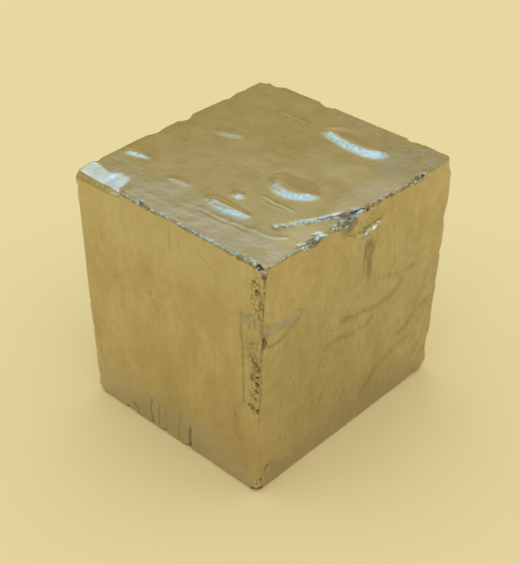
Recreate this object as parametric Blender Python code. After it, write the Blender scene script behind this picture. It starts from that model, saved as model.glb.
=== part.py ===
"""Pyrite cube: one natural crystal, a slightly tapered block standing on a flat foot.

The faces are flat within a few tenths of a millimetre and carry low growth plates.
The edges are worn, chipped and pitted, most of all along the top and the front.
Lengths are in millimetres until a mesh is made, which is in metres.
X and Y run along the two front top edges and Z is up; the front corner is at +X -Y.
"""
import random

import bmesh
import bpy
from mathutils import Matrix, Vector, noise

MM = 0.001

# Corners of the unworn crystal, named by how they lie when the front corner faces the viewer
CORNERS = {
    "left_foot": (-22.2, -26.0, 0.0),
    "front_foot": (21.7, -25.9, 0.0),
    "right_foot": (22.5, 25.8, 0.0),
    "back_foot": (-22.1, 25.9, 0.0),
    "left_top": (-23.7, -25.9, 51.3),
    "front_top": (23.2, -25.8, 50.8),
    "right_top": (23.8, 26.1, 50.65),
    "back_top": (-23.6, 25.9, 51.3),
}
CORNER_AT = {
    (0, 0, 0): "left_foot",
    (1, 0, 0): "front_foot",
    (1, 1, 0): "right_foot",
    (0, 1, 0): "back_foot",
    (0, 0, 1): "left_top",
    (1, 0, 1): "front_top",
    (1, 1, 1): "right_top",
    (0, 1, 1): "back_top",
}

# Each face: its four corners, the two axes it is measured in and the axis it looks along
FACES = {
    "top": (("left_top", "front_top", "right_top", "back_top"), (0, 1), 2, 1),
    "foot": (("left_foot", "front_foot", "right_foot", "back_foot"), (0, 1), 2, -1),
    "left_front": (("left_foot", "front_foot", "front_top", "left_top"), (0, 2), 1, -1),
    "right_back": (("back_foot", "right_foot", "right_top", "back_top"), (0, 2), 1, 1),
    "right_front": (("front_foot", "right_foot", "right_top", "front_top"), (1, 2), 0, 1),
    "left_back": (("left_foot", "back_foot", "back_top", "left_top"), (1, 2), 0, -1),
}

# The face where the share along the X, Y or Z axis (0, 1 or 2) is 0 or 1
FACE_AT = {
    (0, 0): "left_back",
    (0, 1): "right_front",
    (1, 0): "left_front",
    (1, 1): "right_back",
    (2, 0): "foot",
    (2, 1): "top",
}

# The block is a lattice of cells, with a narrow strip beside each edge that takes the wear
FACE_CELLS = 7
EDGE_STRIP = 0.014
RELIEF_DEPTH = 0.16
RELIEF_SPAN = 15.0
EDGE_WEAR = 0.12
TOP_LEFT_WEAR = 0.3
WEAR_SPAN = 5.0
WEAR_VARIATION = 0.8

# Growth plates: face, outline at the face, outline of the raised crown, rise
PLATES = [
    ("top",
     [(-0.9, 16.8), (2.4, 15.0), (7.0, 14.1), (12.0, 14.2), (14.7, 16.4), (13.9, 20.4),
      (7.5, 22.2), (1.4, 20.8)],
     [(0.2, 17.2), (3.0, 16.5), (6.9, 16.0), (11.2, 16.1), (12.9, 17.4), (11.4, 18.3),
      (7.2, 18.4), (2.6, 18.2)], 0.5),
    ("top",
     [(4.1, -3.0), (5.6, -5.5), (8.8, -6.9), (12.6, -5.9), (15.0, -3.0), (12.9, -1.1),
      (8.6, -0.4), (5.0, -1.0)],
     [(5.2, -3.1), (6.4, -4.4), (9.0, -5.3), (12.0, -4.8), (13.4, -3.2), (11.6, -2.9),
      (8.8, -3.2), (6.2, -2.6)], 0.34),
    ("top",
     [(0.0, -16.0), (1.6, -17.3), (5.2, -17.9), (8.8, -17.1), (11.0, -15.5), (6.8, -15.0),
      (2.6, -14.9)],
     [(1.6, -15.7), (2.6, -16.2), (5.2, -16.6), (7.8, -16.3), (9.2, -15.7), (6.6, -15.4),
      (3.0, -15.3)], 0.3),
    ("top",
     [(2.7, -12.1), (3.9, -13.1), (5.3, -12.3), (5.0, -10.9), (3.3, -10.7)],
     [(3.5, -11.7), (4.1, -12.1), (4.6, -11.8), (4.4, -11.2), (3.7, -11.1)], 0.24),
    ("top",
     [(-22.8, -14.7), (-20.4, -15.3), (-17.0, -14.1), (-16.9, -13.3), (-20.6, -13.4)],
     [(-21.8, -14.3), (-20.4, -14.4), (-18.2, -13.8), (-18.2, -13.6), (-20.6, -13.8)], 0.26),
    ("top",
     [(-10.0, -16.4), (-7.2, -17.0), (-4.2, -15.8), (-5.8, -14.7), (-8.8, -15.2)],
     [(-8.8, -16.0), (-7.2, -16.1), (-5.6, -15.5), (-6.2, -15.1), (-8.2, -15.5)], 0.1),
    ("top",
     [(-16.0, 2.4), (-13.0, 1.9), (-9.7, 3.6), (-10.6, 5.2), (-14.0, 4.4)],
     [(-14.8, 2.9), (-13.0, 2.9), (-11.0, 3.9), (-11.4, 4.6), (-13.8, 4.0)], 0.1),
    ("right_front",
     [(-25.6, 34.7), (-25.7, 37.0), (-25.6, 39.4), (-22.4, 39.5), (-19.0, 39.0), (-16.6, 37.6),
      (-18.4, 35.5), (-22.4, 33.8)],
     [(-25.5, 35.2), (-25.6, 36.4), (-25.5, 37.2), (-22.4, 37.3), (-19.4, 37.2), (-17.4, 37.2),
      (-18.8, 35.9), (-22.4, 34.2)], 0.34),
    ("left_front",
     [(18.5, 20.4), (18.4, 28.0), (18.3, 36.6), (19.4, 40.6), (22.4, 40.8), (22.5, 30.5),
      (22.0, 20.2)],
     [(18.8, 20.8), (18.7, 28.0), (18.7, 36.2), (19.8, 38.2), (22.2, 38.4), (22.3, 30.5),
      (21.8, 20.6)], 0.28),
    ("left_front",
     [(-16.2, 22.0), (-13.4, 20.6), (-11.8, 29.0), (-13.2, 38.0), (-15.4, 35.0)],
     [(-15.0, 24.0), (-13.8, 23.0), (-12.8, 29.0), (-13.6, 34.6), (-14.8, 33.0)], 0.14),
    ("left_back",
     [(-16.0, 30.4), (-8.0, 27.6), (0.6, 28.6), (3.4, 31.2), (-3.0, 33.6), (-12.0, 33.0)],
     [(-13.4, 30.7), (-7.6, 29.2), (-0.6, 29.8), (1.4, 31.2), (-3.6, 32.5), (-10.8, 32.2)],
     0.46),
    ("left_back",
     [(6.0, 13.2), (11.4, 11.6), (17.4, 12.8), (18.2, 15.2), (10.4, 16.0)],
     [(8.0, 13.6), (11.6, 12.8), (15.8, 13.6), (16.2, 14.7), (10.8, 15.2)], 0.32),
    ("right_back",
     [(-11.8, 15.0), (-8.6, 13.4), (-7.0, 21.0), (-8.4, 29.8), (-11.0, 26.0)],
     [(-10.8, 17.0), (-8.9, 15.8), (-8.0, 21.2), (-8.9, 26.8), (-10.4, 24.6)], 0.4),
    ("right_back",
     [(10.6, 30.2), (13.0, 28.4), (14.2, 34.0), (12.6, 40.2), (10.8, 36.0)],
     [(11.3, 31.6), (12.8, 30.4), (13.5, 34.0), (12.5, 38.0), (11.4, 35.2)], 0.3),
]
PLATE_ROOT = 0.8
OUTLINE_STEPS = 2

# Runs of splintered chips: edge ends, then where the run starts and ends along the edge,
# how many chips it has, the range of their lengths and the range of their bites
CHIP_RUNS = {
    ("left_top", "front_top"): [
        (0.24, 0.33, 4, (0.4, 1.0), (0.15, 0.35)),
        (0.33, 0.42, 8, (0.6, 1.5), (0.3, 0.75)),
        (0.46, 0.55, 7, (0.6, 1.4), (0.3, 0.7)),
        (0.56, 0.72, 9, (0.4, 1.2), (0.15, 0.4)),
        (0.72, 0.83, 6, (0.4, 1.1), (0.25, 0.5)),
        (0.83, 0.985, 11, (0.4, 1.2), (0.3, 0.7)),
    ],
    ("front_top", "right_top"): [
        (0.18, 0.285, 9, (0.6, 1.7), (0.6, 1.25)),
        (0.29, 0.345, 3, (0.5, 1.0), (0.3, 0.6)),
        (0.345, 0.455, 10, (0.6, 1.6), (0.7, 1.5)),
        (0.46, 0.53, 4, (0.5, 1.0), (0.4, 1.0)),
        (0.53, 0.77, 18, (0.5, 1.2), (0.25, 0.6)),
        (0.77, 0.825, 5, (0.5, 1.3), (0.5, 0.95)),
        (0.90, 0.915, 1, (0.7, 0.8), (0.3, 0.35)),
    ],
    ("front_top", "front_foot"): [
        (0.02, 0.24, 9, (0.4, 0.9), (0.18, 0.42)),
        (0.25, 0.315, 4, (0.6, 1.1), (0.3, 0.55)),
        (0.38, 0.64, 10, (0.4, 0.9), (0.15, 0.38)),
        (0.93, 0.97, 2, (0.6, 1.0), (0.3, 0.5)),
    ],
    ("left_foot", "front_foot"): [
        (0.20, 0.25, 4, (0.7, 1.5), (0.4, 0.8)),
        (0.32, 0.62, 6, (0.5, 1.2), (0.2, 0.5)),
    ],
    ("front_foot", "right_foot"): [
        (0.03, 0.14, 5, (0.5, 1.1), (0.25, 0.55)),
        (0.50, 0.62, 3, (0.6, 1.2), (0.2, 0.4)),
    ],
    ("back_top", "right_top"): [
        (0.325, 0.375, 4, (0.8, 1.8), (0.5, 0.95)),
        (0.775, 0.81, 3, (0.8, 1.6), (0.5, 0.9)),
    ],
}

# Rounded scallops worn out of the edges: place along the edge (0 to 1), length and bite
SCALLOPS = {
    ("left_top", "back_top"): [
        (0.10, 5.0, 0.75), (0.20, 3.0, 0.35), (0.395, 5.0, 0.65), (0.545, 6.0, 1.05),
        (0.68, 3.4, 0.35), (0.775, 5.4, 0.65), (0.87, 3.0, 0.35),
    ],
    ("back_top", "right_top"): [
        (0.07, 5.2, 0.95), (0.20, 3.0, 0.3), (0.50, 4.4, 0.35), (0.62, 3.0, 0.3),
        (0.80, 4.4, 0.7), (0.93, 4.6, 0.5),
    ],
    ("right_top", "right_foot"): [
        (0.09, 6.0, 0.5), (0.25, 7.0, 0.75), (0.42, 6.0, 0.5), (0.56, 8.0, 0.7),
        (0.72, 8.0, 0.8), (0.88, 9.0, 1.35),
    ],
    ("left_top", "left_foot"): [
        (0.07, 5.0, 0.6), (0.30, 4.0, 0.25), (0.69, 3.0, 0.45), (0.93, 6.0, 0.75),
    ],
    ("left_foot", "front_foot"): [(0.10, 8.0, 0.7), (0.80, 5.0, 0.25)],
    ("front_foot", "right_foot"): [(0.33, 5.0, 0.25), (0.72, 6.0, 0.3), (0.92, 7.0, 0.8)],
    ("back_top", "back_foot"): [(0.16, 6.0, 0.7), (0.47, 8.0, 0.5), (0.81, 7.0, 0.9)],
    ("back_foot", "right_foot"): [(0.2, 7.0, 0.6), (0.55, 5.0, 0.4), (0.86, 6.0, 0.7)],
    ("left_foot", "back_foot"): [(0.14, 6.0, 0.6), (0.5, 6.0, 0.4), (0.84, 6.0, 0.6)],
}

# Corner breaks: how far each one bites into the crystal along its diagonal
CORNER_BREAKS = {
    "left_top": 0.9,
    "front_top": 0.9,
    "right_top": 0.9,
    "back_top": 1.8,
    "left_foot": 1.5,
    "front_foot": 1.1,
    "right_foot": 2.0,
    "back_foot": 1.3,
}
CORNER_BREAK_RADIUS = 2.6

# Small chips scattered on every edge, so that the hidden sides are worn like the seen ones
SCATTERED_RUN = (0.06, 0.94, 3, (0.6, 1.6), (0.15, 0.45))

# Pits: face, place, radius and depth
PITS = [
    ("left_front", (20.1, 31.0), 0.35, 0.35), ("left_front", (21.0, 30.1), 0.4, 0.4),
    ("left_front", (21.7, 29.2), 0.35, 0.35), ("left_front", (21.5, 27.6), 0.3, 0.35),
    ("left_front", (21.4, 26.0), 0.4, 0.4), ("left_front", (21.3, 24.4), 0.3, 0.35),
    ("left_front", (20.9, 22.6), 0.3, 0.35), ("left_front", (19.9, 20.2), 0.5, 0.6),
    ("left_front", (21.5, 19.8), 0.4, 0.4), ("left_front", (20.2, 43.6), 0.35, 0.3),
    ("left_front", (21.3, 45.4), 0.4, 0.35), ("left_front", (20.6, 47.2), 0.35, 0.3),
    ("right_front", (-6.9, 28.5), 0.5, 0.25), ("right_front", (-21.4, 3.2), 0.45, 0.35),
    ("right_front", (-23.2, 4.8), 0.5, 0.4), ("right_front", (-24.3, 2.8), 0.45, 0.4),
    ("left_back", (-14.0, 18.0), 0.6, 0.35), ("left_back", (9.0, 38.5), 0.5, 0.3),
    ("right_back", (3.0, 12.5), 0.55, 0.35), ("right_back", (-15.5, 40.0), 0.5, 0.3),
]

# Upright slots broken into the foot of the left front face: place, width, height, depth.
# They start below the foot, lean as they rise and end as a hair line.
FOOT_SLOTS = [
    (-6.4, 0.55, 7.4, 0.55),
    (-2.4, 0.5, 6.8, 0.4),
    (1.4, 0.5, 3.6, 0.35),
    (4.0, 0.95, 6.4, 0.85),
]
SLOT_START = -0.6
SLOT_CLEARANCE = 0.5
SLOT_FADE = 0.02
SLOT_LEAN = 0.2
SLOT_BOTTOM = (-0.1, 0.15)

# Broken flakes: face, outline, width of the sloping wall, then the floor as a plane: a
# point where it has the given depth, and the direction in which it deepens with a slope
FLAKES = [
    # Sloping break at the left end of the top
    ("top",
     [(-24.8, -22.6), (-22.2, -21.6), (-18.9, -22.4), (-16.7, -22.9), (-16.3, -20.8),
      (-14.3, -20.3), (-12.6, -22.4), (-12.0, -26.6), (-18.0, -27.4), (-24.8, -27.4)],
     0.2, (-18.0, -22.0), (0.0, -1.0), 0.14, 0.155),
    # Steep lip below that break
    ("left_front",
     [(-24.8, 49.6), (-17.4, 49.3), (-11.6, 50.3), (-11.6, 52.8), (-24.8, 52.8)],
     0.0, (-18.0, 49.5), (0.0, 1.0), 0.0, 0.85),
    # Cracked wedge beside the right front top edge, dipping away from the front corner
    ("top",
     [(15.2, -16.2), (17.6, -11.2), (19.3, -7.8), (20.6, -4.8), (21.6, -2.6), (22.6, 0.4),
      (23.4, 3.8), (25.6, 5.2), (25.6, -25.0)],
     0.15, (15.6, -15.4), (0.585, 0.81), 0.0, 0.045),
    # Flake under the wedge, which leaves a short ledge on the right front face
    ("right_front",
     [(-6.8, 49.2), (-4.4, 46.8), (-1.0, 45.9), (2.4, 46.0), (5.2, 46.8), (7.4, 49.6),
      (8.0, 53.0), (-7.2, 53.0)],
     0.6, (0.6, 45.4), (0.0, 1.0), 0.5, -0.06),
]
FLAKE_CLEARANCE = 1.4
FLAKE_RIM = 0.02

# Cracks lined with small splintered bites: face, line, number of bites and their sizes
CRACKS = [
    # Along the upper side of the wedge
    ("top", [(15.9, -15.0), (17.8, -11.2), (19.5, -7.8), (20.9, -4.8), (22.4, -1.4)],
     18, (0.15, 0.32)),
    # Along the ledge under the wedge, and two short slits above it
    ("right_front", [(-4.0, 46.4), (-1.0, 45.9), (1.6, 46.0), (4.6, 46.5)], 5, (0.2, 0.35)),
    ("right_front", [(-1.0, 47.6), (0.2, 50.2)], 3, (0.25, 0.4)),
    ("right_front", [(2.6, 48.6), (5.6, 49.4)], 3, (0.15, 0.26)),
    # Beside the front edge
    ("left_front", [(19.6, 47.6), (20.2, 44.0), (21.6, 41.6)], 6, (0.15, 0.28)),
    ("right_front", [(-25.2, 36.6), (-25.0, 34.2)], 4, (0.2, 0.4)),
]

# Spindle-shaped dent on the right front face: Y and Z of its middle, half sizes
SPINDLE_MIDDLE = (1.6, 39.2)
SPINDLE_HALF = (0.42, 0.95, 6.0)

# Seed of the random chips
SEED = 22

# Splinters, the flat-sided cutters: how far their corners are pushed from their places, how
# far they tilt in each use (radians), and the share of that tilt about each of their axes
SPLINTER_SPREAD = (0.74, 1.1)
CHIP_TILT = 0.5
CRACK_TILT = 0.9
PIT_TILT = 0.8
TILT_SHARES = (1.0, 0.6, 0.36)

# Chip radius as shares of its length and its bite, and its drift off the edge line
CHIP_RADIUS_SHARES = (0.45, 0.5)
CHIP_DRIFT = 0.5

# Crack bites are longer along the crack, and pits longer one way than the other
CRACK_STRETCH = 1.3
PIT_STRETCH = 1.2

# Lumps, the rounded cutters: push of their corners, and the shape of a scallop's cutter
LUMP_SPREAD = (0.86, 1.08)
SCALLOP_RADIUS_SHARE = 0.32
SCALLOP_HALF_SHARE = 0.55

PYRITE_COLOUR = (0.56, 0.49, 0.32, 1.0)
PYRITE_ROUGHNESS = 0.32


def corner(name):
    """Position of a named corner of the unworn crystal."""
    return Vector(CORNERS[name])


def block_point(u, v, w):
    """Point of the unworn block at the shares u, v and w of its width, length and height."""
    point = Vector()
    for (i, j, k), name in CORNER_AT.items():
        share = (u if i else 1 - u) * (v if j else 1 - v) * (w if k else 1 - w)
        point += share * corner(name)
    return point


def face_plane(face):
    """Middle and outward unit normal of a face."""
    names, _, out_axis, sign = FACES[face]
    points = [corner(name) for name in names]
    middle = sum(points, Vector()) / len(points)
    normal = (points[2] - points[0]).cross(points[3] - points[1]).normalized()
    if normal[out_axis] * sign < 0:
        normal.negate()
    return middle, normal


def on_face(face, place, lift=0.0):
    """Point above a face, whose place is given along the face's own two axes."""
    _, (first, second), out_axis, _ = FACES[face]
    middle, normal = face_plane(face)
    point = Vector()
    point[first], point[second] = place
    slope = normal[first] * (place[0] - middle[first]) + normal[second] * (place[1] - middle[second])
    point[out_axis] = middle[out_axis] - slope / normal[out_axis]
    return point + normal * lift


def outward(*names):
    """Unit direction out of the edge or corner that the named corners share."""
    normals = [face_plane(face)[1] for face, (around, *_) in FACES.items()
               if set(names) <= set(around)]
    return sum(normals, Vector()).normalized()


def wear_at(point, sides):
    """How far an edge point is worn back, which varies gently along the edge."""
    depth = TOP_LEFT_WEAR if {"left_front", "top"} <= sides else EDGE_WEAR
    return depth * (1.0 + WEAR_VARIATION * noise.noise(point / WEAR_SPAN))


def worn_point(u, v, w):
    """Surface point of the worn block: low relief on the faces, wear on the edges."""
    point = block_point(u, v, w)
    sides = {FACE_AT[axis, share] for axis, share in enumerate((u, v, w)) if share in (0, 1)}
    if len(sides) > 1:
        depth = wear_at(point, sides)
        return point - sum((face_plane(side)[1] for side in sides), Vector()) * depth
    side = sides.pop()
    if side == "foot":
        return point
    return point + face_plane(side)[1] * RELIEF_DEPTH * noise.noise(point / RELIEF_SPAN)


def stations():
    """Shares at which the lattice lines cross a face, with a narrow strip at both ends."""
    inner = [EDGE_STRIP + (1 - 2 * EDGE_STRIP) * i / FACE_CELLS for i in range(FACE_CELLS + 1)]
    return [0] + inner + [1]


def build_block():
    """Closed lattice shell of the worn block."""
    mesh = bmesh.new()
    shares = stations()
    last = len(shares) - 1
    verts = {}

    def vert(i, j, k):
        if (i, j, k) not in verts:
            verts[i, j, k] = mesh.verts.new(worn_point(shares[i], shares[j], shares[k]))
        return verts[i, j, k]

    for a in range(last):
        for b in range(last):
            ring = ((a, b), (a + 1, b), (a + 1, b + 1), (a, b + 1))
            for end in (0, last):
                mesh.faces.new([vert(end, p, q) for p, q in ring])
                mesh.faces.new([vert(p, end, q) for p, q in ring])
                mesh.faces.new([vert(p, q, end) for p, q in ring])
    bmesh.ops.recalc_face_normals(mesh, faces=mesh.faces)
    bmesh.ops.triangulate(mesh, faces=mesh.faces)
    return mesh


def add_loft(mesh, loops):
    """Add a closed solid through loops of equal length, capped at both ends."""
    rings = [[mesh.verts.new(point) for point in loop] for loop in loops]
    faces = []
    for lower, upper in zip(rings, rings[1:]):
        for i, vert in enumerate(lower):
            j = (i + 1) % len(lower)
            faces.append(mesh.faces.new((vert, lower[j], upper[j], upper[i])))
    faces.append(mesh.faces.new(rings[0]))
    faces.append(mesh.faces.new(rings[-1]))
    bmesh.ops.recalc_face_normals(mesh, faces=faces)


def rounded(outline):
    """Closed smooth curve through the outline's points."""
    points = [Vector(point) for point in outline]
    count = len(points)
    curve = []
    for i in range(count):
        before, start, end, after = (points[(i + step) % count] for step in (-1, 0, 1, 2))
        for step in range(OUTLINE_STEPS):
            t = step / OUTLINE_STEPS
            curve.append(0.5 * (2 * start + (end - before) * t
                                + (2 * before - 5 * start + 4 * end - after) * t ** 2
                                + (3 * start - before - 3 * end + after) * t ** 3))
    return curve


def add_plate(mesh, face, outline, crown, rise):
    """Add a low growth plate, whose rim slopes up from its outline to its crown."""
    rim = rounded(outline)
    add_loft(mesh, [
        [on_face(face, point, -PLATE_ROOT) for point in rim],
        [on_face(face, point) for point in rim],
        [on_face(face, point, rise) for point in rounded(crown)],
    ])


def add_flake(mesh, face, outline, wall, hinge, direction, depth, slope):
    """Add a cutter that breaks a flake from a face down to a plane, sloping floor."""
    rim = [Vector(point) for point in outline]
    middle = sum(rim, Vector((0, 0))) / len(rim)
    floor = [point + (middle - point).normalized() * wall for point in rim]
    lifts = [-depth - slope * (point - Vector(hinge)).dot(Vector(direction)) for point in floor]
    add_loft(mesh, [
        [on_face(face, point, FLAKE_CLEARANCE) for point in rim],
        [on_face(face, point, max(lift, 0.0) + FLAKE_RIM) for point, lift in zip(rim, lifts)],
        [on_face(face, point, lift) for point, lift in zip(floor, lifts)],
    ])


def add_splinter(mesh, middle, axes, tilt, rng):
    """Add a flat-sided, box-like cutter, its corners pushed about and its sides tilted."""
    turn = Matrix.Identity(3)
    for axis, share in zip(axes, TILT_SHARES):
        angle = rng.uniform(-tilt, tilt) * share
        turn = Matrix.Rotation(angle, 3, axis.normalized()) @ turn
    frame = Matrix(axes).transposed()
    shape = bmesh.ops.create_cube(mesh, size=2.0)
    for vert in shape["verts"]:
        vert.co = middle + turn @ (frame @ (vert.co * rng.uniform(*SPLINTER_SPREAD)))


def add_lump(mesh, middle, axes, rng):
    """Add a rounded, stone-like cutter, its corners pushed in or out."""
    frame = Matrix(axes).transposed()
    shape = bmesh.ops.create_icosphere(mesh, subdivisions=2, radius=1.0)
    for vert in shape["verts"]:
        vert.co = middle + frame @ (vert.co * rng.uniform(*LUMP_SPREAD))


def edge_frame(edge, place):
    """Point on an edge, with the directions along it, outward from it and across it."""
    start, end = corner(edge[0]), corner(edge[1])
    along = (end - start).normalized()
    out = outward(*edge)
    return start.lerp(end, place), along, out, along.cross(out)


def add_chip_run(mesh, edge, run, rng):
    """Add cutters for a run of flat-sided chips along an edge."""
    first, last, count, lengths, bites = run
    for i in range(count):
        place = first + (last - first) * (i + rng.random()) / count
        point, along, out, across = edge_frame(edge, place)
        length = rng.uniform(*lengths)
        bite = rng.uniform(*bites)
        radius = CHIP_RADIUS_SHARES[0] * length + CHIP_RADIUS_SHARES[1] * bite
        point += across * rng.uniform(-CHIP_DRIFT, CHIP_DRIFT) * bite
        middle = point + out * (radius - bite)
        axes = (along * length / 2, out * radius, across * radius)
        add_splinter(mesh, middle, axes, CHIP_TILT, rng)


def add_scallop(mesh, edge, place, length, bite, rng):
    """Add a cutter for one long, rounded scallop in an edge."""
    point, along, out, across = edge_frame(edge, place)
    radius = SCALLOP_RADIUS_SHARE * length + bite
    middle = point + out * (radius - bite)
    axes = (along * length * SCALLOP_HALF_SHARE, out * radius, across * radius)
    add_lump(mesh, middle, axes, rng)


def add_crack(mesh, face, line, count, sizes, rng):
    """Add small splintered cutters along a crack in a face."""
    points = [Vector(point) for point in line]
    normal = face_plane(face)[1]
    for i in range(count):
        place = (i + rng.random()) / count * (len(points) - 1)
        start, end = points[int(place)], points[int(place) + 1]
        along = (on_face(face, end) - on_face(face, start)).normalized()
        size = rng.uniform(*sizes)
        axes = (along * size * CRACK_STRETCH, normal.cross(along) * size, normal * size)
        add_splinter(mesh, on_face(face, start.lerp(end, place % 1)), axes, CRACK_TILT, rng)


def add_pit(mesh, face, place, radius, depth, rng):
    """Add a cutter that sinks one small angular pit in a face."""
    normal = face_plane(face)[1]
    side = normal.orthogonal().normalized()
    axes = (normal * depth, side * radius, normal.cross(side) * radius * PIT_STRETCH)
    add_splinter(mesh, on_face(face, place), axes, PIT_TILT, rng)


def add_foot_slot(mesh, place, width, height, depth):
    """Add a wedge-shaped cutter for an upright slot that fades out as it rises."""
    mouth = [(place - width / 2, SLOT_START), (place + width / 2, SLOT_START),
             (place + width * SLOT_LEAN, height)]
    deepest = [(place + width * share, SLOT_START) for share in SLOT_BOTTOM]
    deepest.append((place, height))
    lifts = (-depth, -depth, -SLOT_FADE)
    add_loft(mesh, [
        [on_face("left_front", point, SLOT_CLEARANCE) for point in mouth],
        [on_face("left_front", point, lift) for point, lift in zip(deepest, lifts)],
    ])


def add_spindle(mesh, rng):
    """Add the cutter for the upright spindle-shaped dent."""
    deep, wide, tall = SPINDLE_HALF
    axes = (Vector((deep, 0, 0)), Vector((0, wide, 0)), Vector((0, 0, tall)))
    add_lump(mesh, on_face("right_front", SPINDLE_MIDDLE), axes, rng)


def edge_names():
    """Pairs of corner names that share an edge."""
    cells = sorted(CORNER_AT)
    pairs = []
    for i, first in enumerate(cells):
        for second in cells[i + 1:]:
            if sum(abs(a - b) for a, b in zip(first, second)) == 1:
                pairs.append((CORNER_AT[first], CORNER_AT[second]))
    return pairs


def build_plates():
    """All growth plates in one mesh."""
    mesh = bmesh.new()
    for plate in PLATES:
        add_plate(mesh, *plate)
    return mesh


def build_breakage():
    """All chips, pits, slots and broken ledges in one mesh of cutters."""
    rng = random.Random(SEED)
    mesh = bmesh.new()
    for flake in FLAKES:
        add_flake(mesh, *flake)
    add_spindle(mesh, rng)
    for crack in CRACKS:
        add_crack(mesh, *crack, rng)
    for edge, runs in CHIP_RUNS.items():
        for run in runs:
            add_chip_run(mesh, edge, run, rng)
    for edge, scallops in SCALLOPS.items():
        for place, length, bite in scallops:
            add_scallop(mesh, edge, place, length, bite, rng)
    for edge in edge_names():
        add_chip_run(mesh, edge, SCATTERED_RUN, rng)
    for name, bite in CORNER_BREAKS.items():
        out = outward(name)
        radius = CORNER_BREAK_RADIUS
        side = out.orthogonal().normalized()
        axes = (side * radius, out.cross(side) * radius, out * radius)
        add_lump(mesh, corner(name) + out * (radius - bite), axes, rng)
    for face, place, radius, depth in PITS:
        add_pit(mesh, face, place, radius, depth, rng)
    for slot in FOOT_SLOTS:
        add_foot_slot(mesh, *slot)
    return mesh


def to_object(name, mesh):
    """Object in metres from a mesh modelled in millimetres."""
    bmesh.ops.scale(mesh, vec=Vector((MM, MM, MM)), verts=mesh.verts)
    data = bpy.data.meshes.new(name)
    mesh.to_mesh(data)
    mesh.free()
    item = bpy.data.objects.new(name, data)
    bpy.context.scene.collection.objects.link(item)
    return item


def as_guide(item):
    """Mark an object as a construction guide, which is no part of the crystal."""
    item.hide_render = True
    item.display_type = "WIRE"
    return item


def add_boolean(body, tool, operation):
    """Join or cut the body with a tool whose own parts may overlap."""
    step = body.modifiers.new(operation.title() + " " + tool.name, "BOOLEAN")
    step.operation = operation
    step.object = tool
    step.solver = "EXACT"
    step.use_self = True


def pyrite_material():
    """Pale brassy metal with a soft shine."""
    material = bpy.data.materials.new("pyrite")
    material.use_nodes = True
    shader = material.node_tree.nodes["Principled BSDF"]
    shader.inputs["Base Color"].default_value = PYRITE_COLOUR
    shader.inputs["Metallic"].default_value = 1.0
    shader.inputs["Roughness"].default_value = PYRITE_ROUGHNESS
    return material


def main():
    for item in list(bpy.data.objects):
        bpy.data.objects.remove(item)
    crystal = to_object("pyrite_cube", build_block())
    crystal.data.materials.append(pyrite_material())
    plates = as_guide(to_object("growth_plates", build_plates()))
    breakage = as_guide(to_object("breakage", build_breakage()))
    add_boolean(crystal, plates, "UNION")
    add_boolean(crystal, breakage, "DIFFERENCE")


main()
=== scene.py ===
"""Pyrite cube: the crystal's fine surface, its material, the light and the camera.

The crystal's solid is measured along a dense lattice of rays. The lattice then takes the fine
relief of the faces and the roughness of the breaks, and is thinned where it is flat.
Lengths are in millimetres until the mesh is made, which is in metres.
"""
import math

import bpy
import numpy as np
from mathutils import Matrix, Vector, noise
from mathutils.bvhtree import BVHTree


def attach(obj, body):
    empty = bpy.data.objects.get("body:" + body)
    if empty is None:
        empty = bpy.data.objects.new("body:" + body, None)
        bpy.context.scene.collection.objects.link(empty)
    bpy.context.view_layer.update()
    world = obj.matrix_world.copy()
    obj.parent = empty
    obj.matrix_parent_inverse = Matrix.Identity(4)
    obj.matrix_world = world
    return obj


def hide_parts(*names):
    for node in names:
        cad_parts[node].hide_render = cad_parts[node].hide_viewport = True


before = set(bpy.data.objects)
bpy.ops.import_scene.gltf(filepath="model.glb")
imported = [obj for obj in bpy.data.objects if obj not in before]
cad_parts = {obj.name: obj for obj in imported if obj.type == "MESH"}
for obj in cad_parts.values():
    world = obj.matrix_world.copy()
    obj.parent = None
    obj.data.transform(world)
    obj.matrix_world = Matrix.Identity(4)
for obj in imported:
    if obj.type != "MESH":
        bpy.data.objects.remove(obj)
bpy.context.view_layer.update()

MM = 0.001

# Corners of the unworn crystal, keyed by whether X, Y and Z are at their upper end
CORNERS = {
    (0, 0, 0): (-22.2, -26.0, 0.0),
    (1, 0, 0): (21.7, -25.9, 0.0),
    (1, 1, 0): (22.5, 25.8, 0.0),
    (0, 1, 0): (-22.1, 25.9, 0.0),
    (0, 0, 1): (-23.7, -25.9, 51.3),
    (1, 0, 1): (23.2, -25.8, 50.8),
    (1, 1, 1): (23.8, 26.1, 50.65),
    (0, 1, 1): (-23.6, 25.9, 51.3),
}

# Edges: the corners they run between
FRONT_EDGE = ((1, 0, 0), (1, 0, 1))
LEFT_TOP_EDGE = ((0, 0, 1), (1, 0, 1))
RIGHT_TOP_EDGE = ((1, 0, 1), (1, 1, 1))

# Faces: the axis they look along, its sign, and the two axes they are measured in
FACES = {
    "left_back": (0, -1, (1, 2)),
    "right_front": (0, 1, (1, 2)),
    "left_front": (1, -1, (0, 2)),
    "right_back": (1, 1, (0, 2)),
    "foot": (2, -1, (0, 1)),
    "top": (2, 1, (0, 1)),
}

# Lattice: spacing in the middle of a face and beside its edges, and the width of the closer
# bands, which is also how deep the inner box lies that the rays start from
MIDDLE_SPACING = 0.30
EDGE_SPACING = 0.15
EDGE_BAND = 5.4

# Rounded width, length and height of the block, and about their mean
BLOCK_SIZES = (46.0, 51.8, 51.1)
MEAN_SIZE = 50.0

# Triangles that the lattice is thinned to
TRIANGLES = 190000

# Heights: points above the first belong to the top and its rims, the top edges splinter down
# to the second, and points below the last lie on the flat foot
TOP_ZONE = 48.0
SPLINTER_ZONE = 45.0
FOOT_ZONE = 0.02

# How much longer than wide the striations are
STRIATION_STRETCH = 14


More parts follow.
